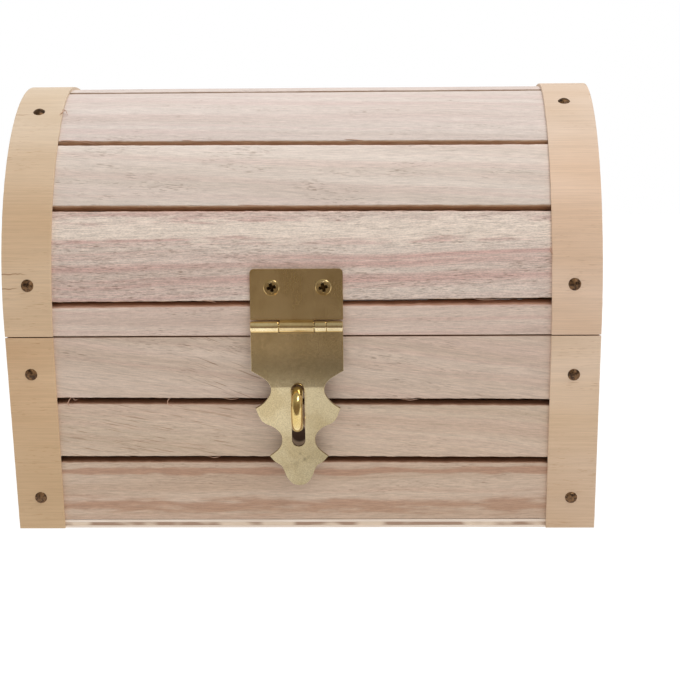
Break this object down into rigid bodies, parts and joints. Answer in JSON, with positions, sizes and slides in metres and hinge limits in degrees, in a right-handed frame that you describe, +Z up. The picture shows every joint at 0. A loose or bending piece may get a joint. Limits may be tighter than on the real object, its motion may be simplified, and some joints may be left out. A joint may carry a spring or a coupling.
{
  "type": "wooden treasure chest box",
  "caption": "Closed wooden treasure chest box with a domed slatted lid, veneer end bands and a brass hasp over a staple.",
  "frame": {"origin": "centre of the underside of the bottom board", "axes": "+X to the right along the chest's width, front with the hasp at -Y, +Z up"},
  "size_m": [0.2, 0.1396, 0.1535],
  "materials": {
    "slat_wood": "unfinished, finely sawn",
    "end_wood": "unfinished, sanded",
    "veneer": "unfinished rotary-cut veneer",
    "plywood": "unfinished, ply edge visible",
    "brass": "thin brass-plated sheet",
    "brass_wire": "polished",
    "bronze_nail": "antique, dark"
  },
  "bodies": {
    "body": {"bottom_board": "plywood", "body_end_left": "end_wood", "body_end_right": "end_wood", "front_slat_upper": "slat_wood", "front_slat_middle": "slat_wood", "front_slat_lower": "slat_wood", "back_slat_upper": "slat_wood", "back_slat_middle": "slat_wood", "back_slat_lower": "slat_wood", "body_band_front_left": "veneer", "body_band_front_right": "veneer", "body_band_back_left": "veneer", "body_band_back_right": "veneer", "body_band_nails": "bronze_nail", "staple": "brass_wire", "hinge_body_leaf_left": "brass", "hinge_body_leaf_right": "brass", "hinge_pins": "brass_wire", "hinge_body_screws": "brass"},
    "lid": {"lid_end_left": "end_wood", "lid_end_right": "end_wood", "lid_slat_front_rim": "slat_wood", "lid_slat_front_lower": "slat_wood", "lid_slat_front_middle": "slat_wood", "lid_slat_front_upper": "slat_wood", "lid_slat_top": "slat_wood", "lid_slat_back_upper": "slat_wood", "lid_slat_back_middle": "slat_wood", "lid_slat_back_lower": "slat_wood", "lid_slat_back_rim": "slat_wood", "lid_band_left": "veneer", "lid_band_right": "veneer", "lid_band_nails": "bronze_nail", "hinge_lid_leaf_left": "brass", "hinge_lid_leaf_right": "brass", "hinge_lid_screws": "brass", "hasp_leaf": "brass", "hasp_screws": "brass", "hasp_pin": "brass_wire"},
    "flap": {"hasp_flap": "brass"}
  },
  "joints": [
    {"name": "lid_hinge", "type": "hinge", "parent": "body", "child": "lid", "pos_m": [0, 0.0645, 0.069], "axis": [-1, 0, 0], "range_deg": [0, 164]},
    {"name": "hasp_swing", "type": "hinge", "parent": "lid", "child": "flap", "pos_m": [-0.0016, -0.06592, 0.0726], "axis": [-1, 0, 0], "range_deg": [0, 170]}
  ]
}
